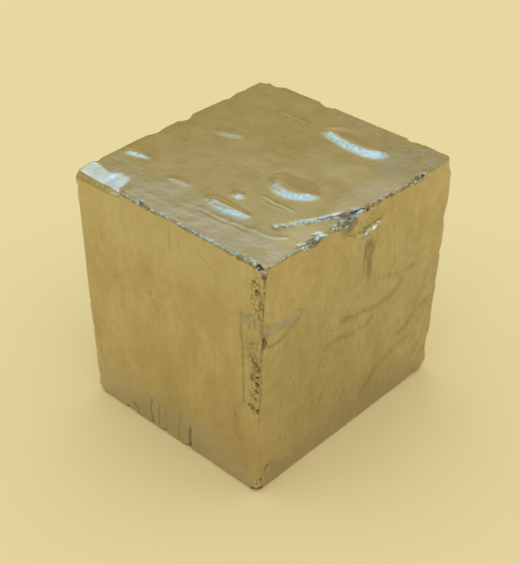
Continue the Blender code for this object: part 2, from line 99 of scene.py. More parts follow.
def lattice_shares(length):
    """Shares of an edge at which the lattice lines cross it, closer beside the ends."""
    band = int(round(EDGE_BAND / EDGE_SPACING))
    middle = int(round((length - 2 * EDGE_BAND) / MIDDLE_SPACING))
    first = np.arange(band) * EDGE_SPACING
    inner = EDGE_BAND + (length - 2 * EDGE_BAND) * np.arange(middle + 1) / middle
    places = np.concatenate([first, inner, length - first[::-1]])
    return places / length


def block_points(shares):
    """Points of the unworn block at the given shares of its width, length and height."""
    points = np.zeros((len(shares), 3))
    for ends, place in CORNERS.items():
        weight = np.ones(len(shares))
        for axis, end in enumerate(ends):
            weight *= shares[:, axis] if end else 1 - shares[:, axis]
        points += weight[:, None] * np.array(place)
    return points


def face_plane(face):
    """Middle and outward unit normal of a face."""
    axis, sign, _ = FACES[face]
    points = [np.array(place) for ends, place in CORNERS.items() if ends[axis] == (sign > 0)]
    middle = sum(points) / 4
    _, _, rows = np.linalg.svd(np.array(points) - middle)
    normal = rows[2]
    return middle, normal * (1 if normal[axis] * sign > 0 else -1)


PLANES = {face: face_plane(face) for face in FACES}


class Lattice:
    """Closed lattice on the six faces of the block, pushed onto the crystal's solid."""

    def __init__(self, solid):
        lines = [lattice_shares(size) for size in BLOCK_SIZES]
        counts = [len(line) for line in lines]
        edge = [np.isin(np.arange(count), (0, count - 1)) for count in counts]
        shell = edge[0][:, None, None] | edge[1][None, :, None] | edge[2][None, None, :]
        index = np.full(counts, -1, dtype=np.int32)
        index[shell] = np.arange(shell.sum())
        self.index = index
        cells = np.argwhere(shell)
        self.shares = np.stack([lines[axis][cells[:, axis]] for axis in range(3)], axis=1)
        self.quads = self.shell_quads(index)
        margin = EDGE_BAND / np.array(BLOCK_SIZES)
        inner = block_points(np.clip(self.shares, margin, 1 - margin))
        outer = block_points(self.shares)
        rays = outer - inner
        rays /= np.linalg.norm(rays, axis=1)[:, None]
        self.points, self.normals = cast(solid, inner, rays, outer)

    @staticmethod
    def shell_quads(index):
        """Quads of the six faces, all facing outward."""
        quads = []
        for axis in range(3):
            for end, flip in ((0, True), (-1, False)):
                side = np.take(index, end, axis=axis)
                if axis == 1:
                    flip = not flip
                ring = [side[:-1, :-1], side[1:, :-1], side[1:, 1:], side[:-1, 1:]]
                if flip:
                    ring.reverse()
                quads.append(np.stack([part.ravel() for part in ring], axis=1))
        return np.concatenate(quads)

    def on_face(self, face):
        """Numbers of the points of a face, with their places along its own two axes."""
        axis, sign, axes = FACES[face]
        chosen = np.flatnonzero(self.shares[:, axis] == (1.0 if sign > 0 else 0.0))
        return chosen, self.points[chosen][:, axes]


def cast(solid, starts, rays, fallback):
    """Where rays from inside first meet the solid, and its normals there."""
    points = np.array(fallback)
    normals = np.array(rays)
    for i, (start, ray) in enumerate(zip(starts.tolist(), rays.tolist())):
        hit, normal, _, _ = solid.ray_cast(start, ray)
        if hit:
            points[i] = hit
            normals[i] = normal
    return points, normals


def solid_tree(node):
    """Search tree of a node's surface, in millimetres."""
    mesh = bpy.data.objects[node].data
    verts = np.empty(len(mesh.vertices) * 3)
    mesh.vertices.foreach_get("co", verts)
    verts = (verts.reshape(-1, 3) / MM).tolist()
    return BVHTree.FromPolygons(verts, [tuple(face.vertices) for face in mesh.polygons])


def smooth_step(low, high, values):
    """Ease from 0 at low to 1 at high."""
    t = np.clip((values - low) / (high - low), 0.0, 1.0)
    return t * t * (3 - 2 * t)


def noise_at(points, scale, seed):
    """Smooth noise from about -1 to 1; scale stretches it along each axis."""
    places = (points / np.array(scale) + seed * 17.3).tolist()
    return np.array([noise.noise(place) for place in places])


def cells_at(points, scale, seed):
    """Faceted noise: distance to the nearest of scattered centres, from 0 to about 1."""
    places = (points / scale + seed * 9.1).tolist()
    return np.array([noise.voronoi(place)[0][0] for place in places])


def crack_distance(points, scale, seed):
    """Distance to the nearest border of an irregular net of cells, in shares of a cell."""
    places = (points / scale + seed * 9.1).tolist()
    nearest = np.array([noise.voronoi(place)[0][:2] for place in places])
    return nearest[:, 1] - nearest[:, 0]


def distance_to(places, line):
    """Distance from places on a face to a line of points."""
    best = np.full(len(places), np.inf)
    for start, end in zip(line, line[1:]):
        start, end = np.array(start), np.array(end)
        along = end - start
        share = np.clip((places - start) @ along / (along @ along), 0, 1)
        gap = places - start - share[:, None] * along
        best = np.minimum(best, np.hypot(gap[:, 0], gap[:, 1]))
    return best


# Fine relief of each face: height and span of its striations, the axis (0 or 1) they run
# along, then height and span of its gentle waves
STRIATIONS = {
    "left_front": (0.026, 0.8, 1, 0.06, 6.0),
    "right_front": (0.020, 0.9, 0, 0.09, 7.0),
    "top": (0.005, 0.9, 0, 0.026, 6.0),
    "left_back": (0.018, 0.9, 0, 0.06, 8.0),
    "right_back": (0.020, 0.8, 1, 0.06, 7.0),
}

# Lines on the faces: face, line, half width, height (below 0 for a groove), darkness and
# tarnish; on the undulations and folds of the right front face the darkness is painted shade
LINES = [
    # Undulations, soft folds and small marks of the right front face; the darkness along the
    # undulations and folds is painted shade
    ("right_front", [(13.2, 29.6), (11.6, 27.2), (7.7, 26.6), (4.0, 26.9), (0.1, 27.6),
                     (-4.0, 28.4)], 1.0, -0.12, 0.37, 0.0),
    ("right_front", [(17.3, 30.3), (14.1, 30.8), (11.0, 31.2), (7.7, 32.8)],
     0.8, -0.09, 0.28, 0.0),
    ("right_front", [(4.9, 25.0), (3.0, 23.6), (-1.5, 23.7), (-4.4, 24.5), (-9.0, 24.6)],
     0.8, -0.09, 0.29, 0.0),
    ("right_front", [(9.0, 24.8), (4.9, 24.0), (0.6, 22.0), (-3.4, 21.8)],
     0.8, 0.08, 0.0, 0.0),
    ("right_front", [(25.2, 20.4), (22.0, 18.4), (19.9, 18.8), (16.4, 16.1), (14.0, 15.6)],
     1.1, -0.12, 0.35, 0.0),
    ("right_front", [(20.4, 12.4), (15.3, 12.9), (12.3, 11.6), (9.2, 10.8), (6.3, 8.7),
                     (3.6, 5.7)], 1.3, -0.10, 0.28, 0.0),
    ("right_front", [(22.6, 27.7), (17.5, 34.9), (12.5, 40.6)], 1.6, 0.0, 0.1, 0.0),
    ("right_front", [(-23.8, 22.9), (-20.8, 24.5), (-18.2, 24.8)], 0.6, 0.0, 0.14, 0.0),
    ("right_front", [(-22.4, 15.4), (-19.0, 17.3), (-15.1, 18.7)], 0.6, 0.0, 0.14, 0.0),
    ("right_front", [(-7.9, 28.0), (-5.0, 27.2)], 0.35, -0.05, 0.3, 0.3),
    ("right_front", [(-7.9, 13.9), (-9.6, 12.3)], 0.4, -0.04, 0.24, 0.0),
    # Notch and ridge below the wedge
    ("right_front", [(-4.0, 49.4), (-2.8, 50.2), (-2.6, 51.0)], 0.4, -0.10, 0.5, 0.0),
    ("right_front", [(-1.7, 45.6), (0.8, 45.5), (4.2, 45.9)], 0.3, 0.34, 0.0, 0.0),
    # Lower rim and streaks of the plate on the right front face
    ("right_front", [(-25.4, 34.8), (-24.4, 33.9), (-23.2, 33.5), (-21.4, 33.5), (-19.5, 33.9),
                     (-17.4, 34.9), (-15.9, 36.2), (-15.9, 37.4), (-17.6, 38.4)],
     0.2, -0.10, 0.42, 0.0),
    ("right_front", [(-25.2, 38.9), (-20.0, 38.6), (-17.6, 38.3)], 0.14, -0.04, 0.3, 0.0),
    ("right_front", [(-25.0, 36.7), (-20.0, 36.4), (-17.0, 36.2)], 0.14, -0.04, 0.3, 0.0),
    # Panel beside the front edge of the left front face, and a groove at its left edge
    ("left_front", [(18.0, 40.0), (17.7, 37.0), (18.2, 33.0), (18.0, 28.0), (18.4, 23.0),
                    (18.2, 20.4)], 0.3, -0.10, 0.26, 0.0),
    ("left_front", [(18.2, 20.4), (17.2, 19.4), (16.4, 17.2), (16.1, 14.4), (16.5, 12.4),
                    (17.5, 10.7)], 0.5, -0.09, 0.2, 0.0),
    ("left_front", [(-21.0, 17.0), (-20.4, 16.2), (-20.6, 13.0), (-20.3, 9.5)],
     0.3, -0.06, 0.2, 0.0),
    # Hair lines below the top edge and in the middle
    ("left_front", [(0.8, 49.6), (1.1, 46.9), (0.9, 44.6)], 0.16, -0.04, 0.35, 0.0),
    ("left_front", [(3.0, 49.0), (3.4, 46.8)], 0.16, -0.04, 0.3, 0.0),
    ("left_front", [(7.2, 47.6), (9.6, 46.6), (12.6, 43.4)], 0.16, -0.04, 0.25, 0.0),
    ("left_front", [(-4.8, 33.4), (-4.2, 31.0), (-3.0, 29.6)], 0.2, -0.05, 0.25, 0.0),
    ("left_front", [(2.0, 33.8), (3.0, 31.0), (4.6, 30.0)], 0.2, -0.05, 0.2, 0.0),
    # Dark slots and hair lines above the foot
    ("left_front", [(-6.3, 0.0), (-6.5, 3.5), (-6.2, 7.2)], 0.22, -0.12, 0.55, 0.3),
    ("left_front", [(-4.4, 1.0), (-4.3, 4.0), (-4.5, 6.6)], 0.18, -0.08, 0.35, 0.3),
    ("left_front", [(-2.4, 0.0), (-2.2, 3.0), (-2.5, 6.6)], 0.18, -0.08, 0.35, 0.3),
    ("left_front", [(1.4, 0.0), (1.2, 3.4), (2.2, 8.6)], 0.16, -0.08, 0.35, 0.3),
    ("left_front", [(4.1, 0.0), (4.2, 3.0), (4.3, 5.8)], 0.30, -0.14, 0.7, 0.2),
    ("left_front", [(-9.9, 0.2), (-10.2, 1.6), (-11.6, 2.8)], 0.35, -0.10, 0.5, 0.4),
    # Scratches and growth steps of the top
    ("top", [(7.5, -9.2), (14.4, -9.0)], 0.16, 0.07, 0.0, 0.0),
    ("top", [(8.5, -10.3), (13.4, -10.2)], 0.14, 0.04, 0.0, 0.0),
    ("top", [(-11.6, 17.4), (-5.2, 17.2)], 0.16, 0.05, 0.0, 0.0),
    ("top", [(-10.0, 16.2), (-6.0, 16.1)], 0.14, 0.03, 0.0, 0.0),
    ("top", [(1.0, -16.4), (4.0, -16.9), (8.4, -16.2)], 0.16, -0.10, 0.2, 0.2),
    ("top", [(2.0, -19.4), (8.0, -19.2), (13.0, -18.4), (17.4, -17.6), (19.0, -16.2)],
     0.35, 0.04, 0.0, 0.0),
    ("top", [(3.0, -20.6), (9.0, -20.4), (14.0, -19.6)], 0.35, 0.025, 0.0, 0.0),
    ("top", [(-16.5, -21.0), (-11.0, -22.6), (-4.0, -22.2), (3.0, -21.6), (10.0, -20.4)],
     0.5, 0.015, 0.0, 0.0),
    ("top", [(3.8, -13.1), (3.2, -12.0), (3.4, -10.2)], 0.14, -0.06, 0.1, 0.2),
    ("top", [(5.2, -0.6), (9.4, -0.1), (13.4, -0.7), (14.9, -2.6)], 0.16, 0.05, 0.0, 0.3),
]

# Crack along the upper side of the wedge, on the top
WEDGE_CRACK = [(15.9, -15.0), (17.8, -11.2), (19.5, -7.8), (20.9, -4.8), (22.2, -0.9),
               (23.2, 3.6)]

# Rough streak along the ledge under the wedge, on the right front face, also painted pale there as
# a highlight
LEDGE = [(-1.7, 45.9), (0.8, 45.8), (4.2, 46.2)]

# Bands with crisp sides: face, line, half width, darkness, grey tint and paleness; all are painted
# light here: painted shade, painted reflection and painted highlight
BANDS = [
    # Slope of the plate, tinted grey as a painted reflection, then the ledge, painted pale as a
    # highlight, with its dark lines of painted shade
    ("right_front", [(-25.2, 37.8), (-19.4, 37.4), (-17.8, 37.1)], 0.95, 0.16, 0.9, 0.0),
    ("right_front", LEDGE, 0.4, 0.0, 0.0, 1.0),
    ("right_front", [(-1.8, 45.4), (0.8, 45.3), (4.4, 45.7)], 0.2, 0.7, 0.0, 0.0),
    ("right_front", [(0.4, 46.5), (4.4, 46.8)], 0.16, 0.5, 0.0, 0.0),
    # Broken flake at the left end of the top, painted pale as a highlight
    ("top", [(-22.6, -23.2), (-18.2, -23.8), (-15.0, -22.4), (-13.6, -24.0)], 1.7, 0.0, 0.0, 1.0),
]

# Softly paler zones: face, middle, half sizes and paleness
PALE_ZONES = [
    ("top", (21.8, -15.5), (4.6, 8.0), 0.5),
    ("top", (20.8, 3.0), (3.0, 10.0), 0.38),
    ("left_front", (-1.0, 47.0), (28.0, 7.0), 0.16),
]

# Patches: face, middle, half sizes, then darkness, rust, tarnish and lumpiness; where noted, the
# darkness is painted shade and the tarnish is a painted reflection
PATCHES = [
    # Left front face
    ("left_front", (20.0, 39.4), (1.7, 1.9), 0.10, 0.0, 0.8, 0.06),
    ("left_front", (22.4, 36.4), (0.7, 2.2), 0.10, 0.0, 0.3, 0.04),
    ("left_front", (20.6, 30.0), (1.9, 6.5), 0.0, 0.0, 0.15, 0.03),
    ("left_front", (-0.9, 10.6), (1.0, 0.7), 0.05, 0.0, 0.9, 0.03),
    # Painted reflection of the contact shadow: these two rows tint the strip along the foot grey
    ("left_front", (-1.5, 2.2), (11.0, 5.0), 0.05, 0.0, 0.7, 0.04),
    ("left_front", (0.0, 0.0), (27.0, 9.0), 0.0, 0.0, 0.75, 0.0),
    ("left_front", (22.9, 50.2), (0.5, 0.8), 0.45, 0.0, 0.0, 0.0),
    ("left_front", (21.2, 0.4), (1.0, 0.7), 0.3, 1.0, 0.0, 0.04),
    ("left_front", (22.9, 49.2), (0.25, 0.6), 0.6, 0.6, 0.0, 0.0),
    # Right front face
    # Painted shade: the dark lens of a soft fold (this row and the next)
    ("right_front", (2.3, 41.2), (1.3, 2.5), 0.45, 0.0, 0.0, 0.0),
    ("right_front", (2.4, 38.6), (0.75, 5.0), 0.45, 0.0, 0.0, 0.0),
    ("right_front", (-6.9, 28.5), (0.8, 0.5), 0.0, 0.0, 0.9, 0.0),
    ("right_front", (-4.2, 49.0), (2.4, 1.8), 0.6, 0.0, 0.6, 0.10),
    ("right_front", (-22.4, 3.6), (2.6, 2.2), 0.12, 0.0, 0.2, 0.05),
    # Painted reflection of the contact shadow: the strip along the foot tinted grey and darkened
    ("right_front", (0.0, 0.0), (28.0, 8.0), 0.12, 0.0, 0.6, 0.0),
    ("right_front", (23.0, 14.0), (3.4, 12.0), 0.0, 0.0, 0.0, 0.16),
    ("right_front", (17.0, 30.0), (5.0, 8.0), 0.0, 0.0, 0.0, 0.10),
    ("right_front", (-13.6, 50.2), (1.6, 0.9), 0.6, 0.0, 0.3, 0.06),
    ("right_front", (-25.4, 50.0), (0.5, 0.8), 0.45, 0.0, 0.0, 0.0),
    # Painted shade: these two rows darken the whole face, more towards its back end
    ("right_front", (3.0, 24.0), (26.0, 26.0), 0.10, 0.0, 0.0, 0.0),
    ("right_front", (25.0, 16.0), (10.0, 22.0), 0.14, 0.0, 0.0, 0.0),
    ("right_front", (-25.2, 0.4), (1.2, 0.7), 0.3, 1.0, 0.0, 0.04),
    ("right_front", (-25.6, 49.2), (0.25, 0.6), 0.6, 0.6, 0.0, 0.0),
    # Top
    ("top", (22.2, -3.6), (1.1, 2.8), 0.6, 0.0, 0.6, 0.08),
    ("top", (22.9, -13.6), (0.7, 1.6), 0.6, 0.0, 0.3, 0.06),
    ("top", (15.6, -15.2), (1.0, 0.5), 0.4, 0.0, 0.5, 0.05),
    # Painted reflection: a grey band over the front of the top, beside its left front edge
    ("top", (0.0, -21.8), (26.0, 6.0), 0.0, 0.0, 0.7, 0.03),
    ("top", (20.8, 3.0), (3.0, 10.0), 0.0, 0.0, 0.35, 0.0),
    ("top", (10.0, 24.5), (14.0, 2.8), 0.0, 0.0, 0.5, 0.02),
    ("top", (18.8, 18.5), (6.4, 7.6), 0.06, 0.0, 0.85, 0.02),
    ("top", (-20.0, -17.6), (2.4, 1.6), 0.05, 0.0, 0.7, 0.04),
    ("top", (-13.0, 3.4), (3.0, 1.3), 0.05, 0.0, 0.5, 0.02),
    ("top", (-7.6, -15.9), (3.0, 1.0), 0.0, 0.0, 0.5, 0.02),
]

# Nets of fine cracks: face, middle, half sizes, size of a cell and strength
CRACKLES = [
    ("left_front", (21.5, 44.4), (1.3, 4.6), 0.9, 1.0),
    ("left_front", (22.4, 41.0), (0.8, 6.0), 0.7, 1.0),
    ("left_front", (20.0, 39.2), (1.5, 2.0), 0.7, 0.7),
    ("left_front", (20.6, 33.6), (1.6, 3.6), 1.1, 0.55),
    ("left_front", (21.2, 27.0), (1.2, 6.2), 0.9, 1.0),
    ("left_front", (21.0, 20.0), (1.6, 1.2), 0.8, 0.9),
    ("right_front", (-25.2, 37.0), (0.5, 3.4), 0.8, 0.6),
    ("right_front", (-22.4, 3.6), (2.8, 2.6), 0.9, 0.4),
    ("right_front", (-4.4, 48.6), (2.6, 2.2), 0.7, 0.8),
    ("right_front", (2.6, 48.2), (2.6, 1.2), 0.9, 0.5),
    ("left_back", (20.0, 12.0), (2.6, 6.0), 1.1, 0.5),
    ("right_back", (-19.0, 30.0), (2.6, 7.0), 1.1, 0.5),
]

# Splintered strips of the two front top edges: share along the edge and width there
RAGGED = {
    LEFT_TOP_EDGE: [(0.0, 0.1), (0.22, 0.1), (0.3, 0.35), (0.36, 0.6), (0.42, 0.6), (0.47, 0.3),
                    (0.58, 0.35), (0.7, 0.3), (0.8, 0.4), (0.88, 0.55), (1.0, 0.6)],
    RIGHT_TOP_EDGE: [(0.0, 0.3), (0.05, 0.14), (0.16, 0.16), (0.21, 0.9), (0.29, 0.45),
                     (0.37, 1.0), (0.46, 0.6), (0.56, 0.5), (0.74, 0.4), (0.8, 0.7),
                     (0.84, 0.1), (1.0, 0.1)],
}


def patch_share(places, middle, halves):
    """1 in the middle of an oval patch, easing to 0 at its rim."""
    gap = (places - np.array(middle)) / np.array(halves)
    return smooth_step(1.25, 0.6, np.hypot(gap[:, 0], gap[:, 1]))


def on(face, rows):
    """What belongs to a face, from a table whose rows start with their face."""
    return [row[1:] for row in rows if row[0] == face]


def mark(values, chosen, amounts):
    """Raise surface values to the given amounts at the chosen points."""
    for name, amount in amounts.items():
        values[name][chosen] = np.maximum(values[name][chosen], amount)


def striations(face, places, flat):
    """Lift of the points of a face by its striations and gentle waves."""
    height, span, run, wave, wave_span = STRIATIONS[face]
    stretch = np.array([span, span])
    stretch[run] = span * STRIATION_STRETCH
    drawn = np.column_stack([places / stretch, np.full(len(places), 3.0)])
    lift = height * noise_at(drawn, 1.0, 1)
    lift += 0.5 * height * noise_at(drawn, 0.8, 2)
    return lift + wave * noise_at(flat, wave_span, 3)


def crackle(flat, wander, near, cell):
    """Cracks of a net with the given size of cell, from 0 to 1, at the points near it."""
    cracks = np.zeros(len(flat))
    bent = flat[near] + 0.3 * np.column_stack([wander[near], np.zeros(near.sum())])
    cracks[near] = np.clip(1.2 - 5.5 * crack_distance(bent, cell, 4), 0, 1)
    return cracks


def face_relief(lattice, values):
    """Push the faces by their striations, waves, lines and patches, and mark their stains."""
    moves = np.zeros_like(lattice.points)
    for face in STRIATIONS:
        chosen, places = lattice.on_face(face)
        flat = np.column_stack([places, np.zeros(len(places))])
        lift = striations(face, places, flat)
        lumps = noise_at(flat, 2.4, 12) + 0.5 * noise_at(flat, 0.9, 13)
        wander = 0.35 * np.column_stack([noise_at(flat, 2.2, 8), noise_at(flat, 2.2, 9)])
        for line, half_width, rise, darkness, tarnish_and_reflection in on(face, LINES):
            shape = np.exp(-(distance_to(places + wander, line) / half_width) ** 2)
            lift += rise * shape
            mark(values, chosen, {"dark": darkness * shape, "tarnish_and_reflection": tarnish_and_reflection * shape})
        for line, half_width, darkness, tarnish_and_reflection, pale in on(face, BANDS):
            shape = smooth_step(1.15, 0.85, distance_to(places, line) / half_width)
            mark(values, chosen, {"dark": darkness * shape, "tarnish_and_reflection": tarnish_and_reflection * shape,
                                  "pale": pale * shape})
        for middle, halves, darkness, rust, tarnish_and_reflection, lumpy in on(face, PATCHES):
            share = patch_share(places + wander, middle, halves)
            lift += lumpy * share * lumps
            mark(values, chosen, {"dark": darkness * share, "rust": rust * share,
                                  "tarnish_and_reflection": tarnish_and_reflection * share})
        for middle, halves, pale in on(face, PALE_ZONES):
            mark(values, chosen, {"pale": pale * patch_share(places + wander, middle, halves)})
        for middle, halves, cell, strength in on(face, CRACKLES):
            share = strength * patch_share(places + 2 * wander, middle, halves)
            cracks = crackle(flat, wander, share > 0, cell)
            lift -= 0.08 * cracks * share
            mark(values, chosen, {"dark": 0.8 * cracks * share})
        lift *= edge_fade(lattice, chosen, face)
        moves[chosen] += lift[:, None] * PLANES[face][1]
    lattice.points += moves


def edge_fade(lattice, chosen, face):
    """0 on a face's rim and 1 from 0.7 mm inward."""
    _, _, axes = FACES[face]
    shares = lattice.shares[chosen][:, axes]
    rim = np.minimum(shares, 1 - shares).min(axis=1) * MEAN_SIZE
    return smooth_step(0.0, 0.7, rim)


def depth_below(points):
    """Depth of points below the nearest unworn face."""
    return np.min([(middle - points) @ normal for middle, normal in PLANES.values()], axis=0)


def lean(lattice):
    """Degrees by which the solid leans off its nearest face at each point."""
    along = np.max([lattice.normals @ normal for _, normal in PLANES.values()], axis=0)
    return np.degrees(np.arccos(np.clip(along, -1, 1)))


def breaks(lattice):
    """Share of splintered surface at each point, which leans off its face and is sunk."""
    sunk = smooth_step(0.15, 0.4, depth_below(lattice.points))
    return spread(lattice, smooth_step(5.0, 14.0, lean(lattice)) * sunk, 2)


def cavities(lattice, broken):
    """Share of painted shade at each point: in narrow hollows, and in the chips of the front edge.
    """
    depth = depth_below(lattice.points)
    height = lattice.points[:, 2]
    hollow = depth - spread(lattice, depth, 4)
    least = np.where(height > SPLINTER_ZONE, 0.015, 0.06)
    hollow = smooth_step(least, least + 0.075, hollow) * smooth_step(0.05, 0.4, broken)
    _, gap = edge_places(lattice.points, FRONT_EDGE)
    chips = np.maximum(broken, smooth_step(0.16, 0.3, depth))
    chips *= 1.2 * smooth_step(2.0, 1.2, gap) * (height < TOP_ZONE)
    return np.maximum(hollow, chips)


def slopes(lattice):
    """Shares of front and back slope of a top plate at each point, leaning but not sunk; the front
    slopes carry a painted glint and the back slopes a painted grey reflection.
    """
    raised = smooth_step(0.12, 0.0, depth_below(lattice.points))
    raised *= (lattice.points[:, 2] > TOP_ZONE) * smooth_step(0.8, 1.4, rim_distance(lattice))
    front = smooth_step(0.0, 0.05, lattice.normals @ np.array([0.7, -0.7, 0.0]))
    leaning = smooth_step(4.0, 9.0, lean(lattice)) * raised
    return spread(lattice, leaning * front, 2), spread(lattice, leaning * (1 - front), 2)


def edge_places(points, edge):
    """Share along an edge, and distance from it, of each point."""
    start, end = (np.array(CORNERS[corner]) for corner in edge)
    along = end - start
    share = np.clip((points - start) @ along / (along @ along), 0, 1)
    return share, np.linalg.norm(points - start - share[:, None] * along, axis=1)


def square_rims(lattice, broken, rows=7):
    """Carry the faces beside the two front top edges straight on to the edge where it is whole."""
    index = lattice.index
    chipped = smooth_step(0.3, 0.5, depth_below(lattice.points))
    whole = 1 - smooth_step(0.1, 0.4, broken) * chipped
    strips = [(index[:, :, -1], 2), (index[:, 0, ::-1], 1), (index[::-1, :, -1].T, 2),
              (index[-1, :, ::-1], 0)]
    for strip, axis in strips:
        inner = lattice.points[strip[:, rows], axis]
        for row in range(rows):
            chosen = strip[:, row]
            gap = inner - lattice.points[chosen, axis]
            lattice.points[chosen, axis] += whole[chosen] * gap


def round_corner(lattice, radius=2.4, depth=6.0):
    """Round the far right top corner in plan, less and less below the top."""
    points = lattice.points
    corner = np.array(CORNERS[1, 1, 1])
    gap = corner - points
    size = radius * smooth_step(depth, 0.0, gap[:, 2]) + 0.01
    inward = np.clip(size[:, None] - gap[:, :2], 0, None)
    reach = np.hypot(inward[:, 0], inward[:, 1])
    share = np.where(reach > size, size / np.maximum(reach, 0.001), 1.0)
    points[:, :2] -= inward * (1 - share[:, None])


def rim_strips(points, wander):
    """Share of splintered strip, and of the painted shade line on the edge itself, at each point.
    """
    strip = np.zeros(len(points))
    line = np.zeros(len(points))
    for edge, widths in RAGGED.items():
        share, gap = edge_places(points, edge)
        width = np.interp(share, *zip(*widths))
        strip = np.maximum(strip, smooth_step(1.15, 0.8, gap / (width * (1 + wander) + 0.05)))
        line = np.maximum(line, smooth_step(0.5, 0.25, gap) * smooth_step(0.1, 0.14, width))
    return strip, line


def streak(lattice, face, line, half_width, wander):
    """Points of a face, and their share of a streak of uneven width along a line."""
    chosen, places = lattice.on_face(face)
    half_widths = half_width * (1 + wander[chosen])
    return chosen, smooth_step(1.2, 0.8, distance_to(places, line) / half_widths)


def front_edge_shade(points, spots):
    """Darkness of the front edge, which is weaker towards the foot."""
    _, gap = edge_places(points, FRONT_EDGE)
    shade = smooth_step(0.45, 0.2, gap) * (0.3 + 0.3 * spots)
    shade *= 0.25 + 0.75 * smooth_step(14.0, 24.0, points[:, 2])
    return shade


def ragged_rims(lattice, values):
    """Splinter the two front top edges, the wedge's crack and its ledge, with dark seams."""
    points = lattice.points
    wander = 0.3 * noise_at(points, 1.3, 21) + 0.2 * noise_at(points, 0.5, 22)
    strip, line = rim_strips(points, wander)
    bites = 0.2 * strip * line * smooth_step(-0.1, 0.3, noise_at(points, 0.8, 25))
    points -= bites[:, None] * lattice.normals

    # The flake at the left end stays calmer
    share, gap = edge_places(points, LEFT_TOP_EDGE)
    calm = smooth_step(0.26, 0.22, share) * smooth_step(4.5, 3.5, gap)
    values["broken"] *= 1 - 0.7 * calm

    chosen, crack = streak(lattice, "top", WEDGE_CRACK, 0.26, 1.4 * wander)
    strip[chosen] = np.maximum(strip[chosen], crack)
    values["broken"] = np.maximum(values["broken"], 0.8 * strip)

    spots = smooth_step(-0.12, 0.2, noise_at(points, 0.7, 23))
    # Dark marks of the rims: the splintered strips, and painted shade along the edge line
    stain_and_shade = np.maximum(strip * (0.12 + 0.55 * spots), line * (0.22 + 0.5 * spots))
    near = values["broken"] > 0.2
    seams = np.zeros(len(points))
    seams[near] = np.clip(1 - 5 * crack_distance(points[near], 0.9, 24), 0, 1)
    for shade in (stain_and_shade, 0.75 * seams * (1 - calm), front_edge_shade(points, spots)):
        values["dark"] = np.maximum(values["dark"], shade)

    chosen, ledge = streak(lattice, "right_front", LEDGE, 0.4, wander)
    mark(values, chosen, {"broken": ledge})


def settle(lattice, broken):
    """Soften the rims of plates, dents and pits, and the front edge below its top end."""
    _, gap = edge_places(lattice.points, FRONT_EDGE)
    low = smooth_step(SPLINTER_ZONE + 1, SPLINTER_ZONE - 1, lattice.points[:, 2])
    edge = smooth_step(2.5, 1.5, gap) * low
    share = (1 - broken) * np.maximum(smooth_step(0.3, 0.9, rim_distance(lattice)), edge)
    for axis in range(3):
        soft = spread(lattice, lattice.points[:, axis], 5)
        lattice.points[:, axis] += share * (soft - lattice.points[:, axis])


def rim_distance(lattice):
    """Distance of each lattice point from the rim of its face."""
    return np.sort(np.minimum(lattice.shares, 1 - lattice.shares), axis=1)[:, 1] * MEAN_SIZE


def spread(lattice, values, passes):
    """Blur values over neighbouring lattice points."""
    ring = lattice.quads
    for _ in range(passes):
        total = np.zeros(len(values))
        count = np.zeros(len(values))
        for a in range(4):
            for b in (1, 3):
                np.add.at(total, ring[:, a], values[ring[:, (a + b) % 4]])
                np.add.at(count, ring[:, a], 1)
        values = 0.5 * values + 0.5 * total / count
    return values


def roughen(lattice, broken, slope):
    """Splintered relief of the broken surface, and a fine grain on the plates' slopes."""
    points = lattice.points
    lift = 0.07 * noise_at(points, 0.8, 5)
    lift += 0.05 * noise_at(points, 0.35, 6)
    lift -= 0.10 * (0.5 - cells_at(points, 0.6, 7))
    lift *= broken
    grain = (0.0035 + 0.04 * slope) * noise_at(points, 0.7, 11)
    grain += 0.03 * slope * noise_at(points, 0.35, 14)
    lift += grain * (1 - broken)
    lift[points[:, 2] < FOOT_ZONE] = 0
    lattice.points += lift[:, None] * lattice.normals
    lattice.points[:, 2] = np.maximum(lattice.points[:, 2], 0.0)


def crystal_object(lattice, values):
    """Mesh object of the lattice, thinned where it is flat, with its surface values."""
    mesh = bpy.data.meshes.new("crystal")
    mesh.vertices.add(len(lattice.points))
    mesh.vertices.foreach_set("co", (lattice.points * MM).ravel())
    quads = lattice.quads
    mesh.loops.add(quads.size)
    mesh.loops.foreach_set("vertex_index", quads.ravel())
    mesh.polygons.add(len(quads))
    mesh.polygons.foreach_set("loop_start", np.arange(0, quads.size, 4))
    mesh.update(calc_edges=True)
    mesh.validate()
    for name, value in values.items():
        layer = mesh.attributes.new(name, "FLOAT", "POINT")
        layer.data.foreach_set("value", value.astype(np.float32))
    crystal = bpy.data.objects.new("crystal", mesh)
    bpy.context.scene.collection.objects.link(crystal)
    thin = crystal.modifiers.new("Thin", "DECIMATE")
    thin.ratio = TRIANGLES / (2 * len(quads))
    bpy.context.view_layer.update()
    thinned = bpy.data.meshes.new_from_object(
        crystal.evaluated_get(bpy.context.evaluated_depsgraph_get()))
    crystal.modifiers.clear()
    crystal.data = thinned
    bpy.data.meshes.remove(mesh)
    thinned.polygons.foreach_set("use_smooth", np.ones(len(thinned.polygons), dtype=bool))
    thinned.set_sharp_from_angle(angle=math.radians(38))
    return crystal


